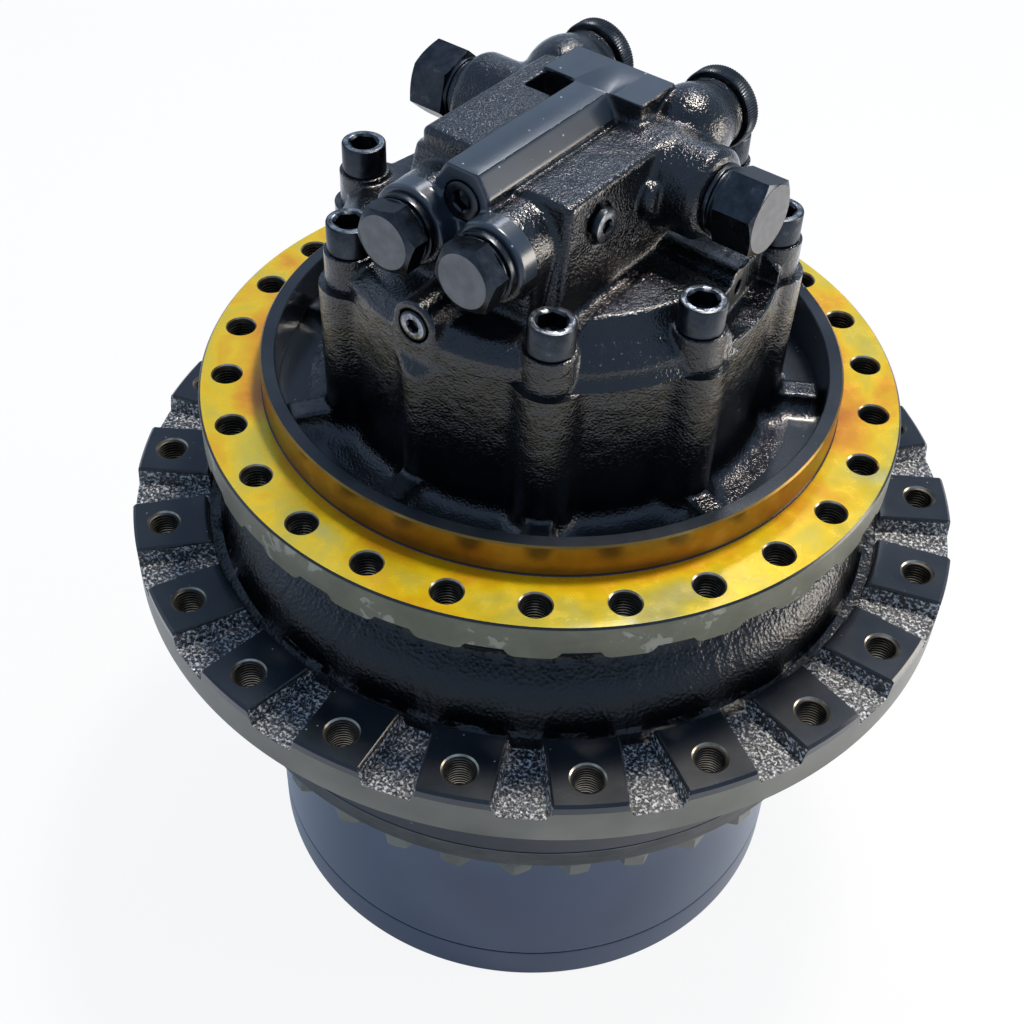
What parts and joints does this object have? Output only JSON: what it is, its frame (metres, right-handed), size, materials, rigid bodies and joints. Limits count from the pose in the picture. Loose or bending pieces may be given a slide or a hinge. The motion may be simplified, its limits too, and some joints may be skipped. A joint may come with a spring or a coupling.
{
  "type": "excavator final drive",
  "caption": "Hydraulic travel final drive: sprocket hub turning on a flanged spindle, with planetary gearing below and a motor with a valve block on top.",
  "frame": {"origin": "centre of the end cover's flat bottom face, on the drum's axis", "axes": "+Z along the drum's axis from the end cover up to the motor, +Y along the valve block towards its two port caps, +X completing the right-handed frame"},
  "size_m": [0.6144, 0.6144, 0.674],
  "materials": {
    "black_casting": "glossy black paint over a cast surface, with bare and yellow passivated machined faces",
    "dark_housing": "thin dark satin coating over machined steel",
    "oxide_steel": "black oxide, satin, worn bright at the edges",
    "bare_steel": "plain turned steel",
    "gear_steel": "ground gear steel with an oil film",
    "bearing_steel": "polished bearing steel",
    "bronze": "turned bronze"
  },
  "bodies": {
    "fixed_side": {"spindle_casing": "black_casting", "motor_cover": "black_casting", "cover_screw_1": "oxide_steel", "cover_screw_2": "oxide_steel", "cover_screw_3": "oxide_steel", "cover_screw_4": "oxide_steel", "cover_screw_5": "oxide_steel", "cover_screw_6": "oxide_steel", "cover_screw_7": "oxide_steel", "cover_screw_8": "oxide_steel", "relief_valve_left": "oxide_steel", "relief_valve_right": "oxide_steel", "spool_cap_left": "oxide_steel", "spool_cap_right": "oxide_steel", "port_cap_left": "oxide_steel", "port_cap_right": "oxide_steel", "side_plug_left": "oxide_steel", "side_plug_right": "oxide_steel", "front_lug_plug": "bare_steel", "bar_end_plug": "oxide_steel", "second_carrier": "gear_steel", "upper_bearing_inner_ring": "bearing_steel", "lower_bearing_inner_ring": "bearing_steel", "bearing_nut": "oxide_steel", "seal_ring_fixed": "bearing_steel", "shaft_bearing_lower": "bearing_steel", "shaft_bearing_upper": "bearing_steel", "valve_plate": "bronze", "brake_plate_1": "gear_steel", "brake_spring": "bearing_steel"},
    "drum": {"sprocket_hub": "black_casting", "ring_gear_housing": "dark_housing", "end_cover": "dark_housing", "drain_plug": "bare_steel", "level_plug": "bare_steel", "upper_bearing_outer_ring": "bearing_steel", "lower_bearing_outer_ring": "bearing_steel", "seal_ring_turning": "bearing_steel"},
    "upper_rollers": {"upper_roller_cage": "bearing_steel"},
    "lower_rollers": {"lower_roller_cage": "bearing_steel"},
    "first_carrier_and_sun": {"first_carrier": "gear_steel", "second_sun_gear": "gear_steel"},
    "second_planet_gear_1": {"second_planet_1": "gear_steel"},
    "second_planet_gear_2": {"second_planet_2": "gear_steel"},
    "second_planet_gear_3": {"second_planet_3": "gear_steel"},
    "first_planet_gear_1": {"first_planet_1": "gear_steel"},
    "first_planet_gear_2": {"first_planet_2": "gear_steel"},
    "first_planet_gear_3": {"first_planet_3": "gear_steel"},
    "motor_rotor": {"first_sun_gear": "gear_steel", "motor_shaft": "gear_steel", "cylinder_block": "bronze", "pistons_and_retainer": "bearing_steel", "brake_disc_1": "bronze"},
    "parking_brake_piston": {"brake_piston": "gear_steel"},
    "tilting_swash_plate": {"swash_plate": "gear_steel"},
    "two_speed_piston": {"speed_change_piston": "bearing_steel"},
    "balance_spool": {"counterbalance_spool": "bearing_steel"}
  },
  "joints": [
    {"name": "drum_spin", "type": "hinge", "parent": "fixed_side", "child": "drum", "pos_m": [0, 0, 0.35], "axis": [0, 0, 1], "continuous": true},
    {"name": "upper_rollers_spin", "type": "hinge", "parent": "fixed_side", "child": "upper_rollers", "pos_m": [0, 0, 0.37], "axis": [0, 0, 1], "continuous": true},
    {"name": "lower_rollers_spin", "type": "hinge", "parent": "fixed_side", "child": "lower_rollers", "pos_m": [0, 0, 0.28], "axis": [0, 0, 1], "continuous": true},
    {"name": "first_carrier_spin", "type": "hinge", "parent": "fixed_side", "child": "first_carrier_and_sun", "pos_m": [0, 0, 0.085], "axis": [0, 0, 1], "continuous": true},
    {"name": "second_planet_1_spin", "type": "hinge", "parent": "fixed_side", "child": "second_planet_gear_1", "pos_m": [0.12, 0, 0.16], "axis": [0, 0, 1], "continuous": true},
    {"name": "second_planet_2_spin", "type": "hinge", "parent": "fixed_side", "child": "second_planet_gear_2", "pos_m": [-0.06, 0.10392, 0.16], "axis": [0, 0, 1], "continuous": true},
    {"name": "second_planet_3_spin", "type": "hinge", "parent": "fixed_side", "child": "second_planet_gear_3", "pos_m": [-0.06, -0.10392, 0.16], "axis": [0, 0, 1], "continuous": true},
    {"name": "first_planet_1_spin", "type": "hinge", "parent": "first_carrier_and_sun", "child": "first_planet_gear_1", "pos_m": [0.12, 0, 0.056], "axis": [0, 0, 1], "continuous": true},
    {"name": "first_planet_2_spin", "type": "hinge", "parent": "first_carrier_and_sun", "child": "first_planet_gear_2", "pos_m": [-0.06, 0.10392, 0.056], "axis": [0, 0, 1], "continuous": true},
    {"name": "first_planet_3_spin", "type": "hinge", "parent": "first_carrier_and_sun", "child": "first_planet_gear_3", "pos_m": [-0.06, -0.10392, 0.056], "axis": [0, 0, 1], "continuous": true},
    {"name": "motor_shaft_spin", "type": "hinge", "parent": "fixed_side", "child": "motor_rotor", "pos_m": [0, 0, 0.45], "axis": [0, 0, 1], "continuous": true},
    {"name": "brake_release", "type": "slide", "parent": "fixed_side", "child": "parking_brake_piston", "axis": [0, 0, 1], "range_m": [0, 0.002]},
    {"name": "swash_tilt", "type": "hinge", "parent": "fixed_side", "child": "tilting_swash_plate", "pos_m": [0, 0, 0.373], "axis": [1, 0, 0], "range_deg": [-7, 0]},
    {"name": "speed_piston_slide", "type": "slide", "parent": "fixed_side", "child": "two_speed_piston", "axis": [0, 0, 1], "range_m": [0, 0.0087]},
    {"name": "spool_slide", "type": "slide", "parent": "fixed_side", "child": "balance_spool", "axis": [1, 0, 0], "range_m": [-0.006, 0.006]}
  ],
  "couplings": [
    {"joint": "upper_rollers_spin", "follows": "drum_spin", "ratio": 0.5227},
    {"joint": "lower_rollers_spin", "follows": "drum_spin", "ratio": 0.5227},
    {"joint": "first_carrier_spin", "follows": "drum_spin", "ratio": -4},
    {"joint": "second_planet_1_spin", "follows": "drum_spin", "ratio": 2.6667},
    {"joint": "second_planet_2_spin", "follows": "drum_spin", "ratio": 2.6667},
    {"joint": "second_planet_3_spin", "follows": "drum_spin", "ratio": 2.6667},
    {"joint": "first_planet_1_spin", "follows": "drum_spin", "ratio": 13.333},
    {"joint": "first_planet_2_spin", "follows": "drum_spin", "ratio": 13.333},
    {"joint": "first_planet_3_spin", "follows": "drum_spin", "ratio": 13.333},
    {"joint": "motor_shaft_spin", "follows": "drum_spin", "ratio": -24},
    {"joint": "speed_piston_slide", "follows": "swash_tilt", "m_per_rad": -0.0704}
  ]
}
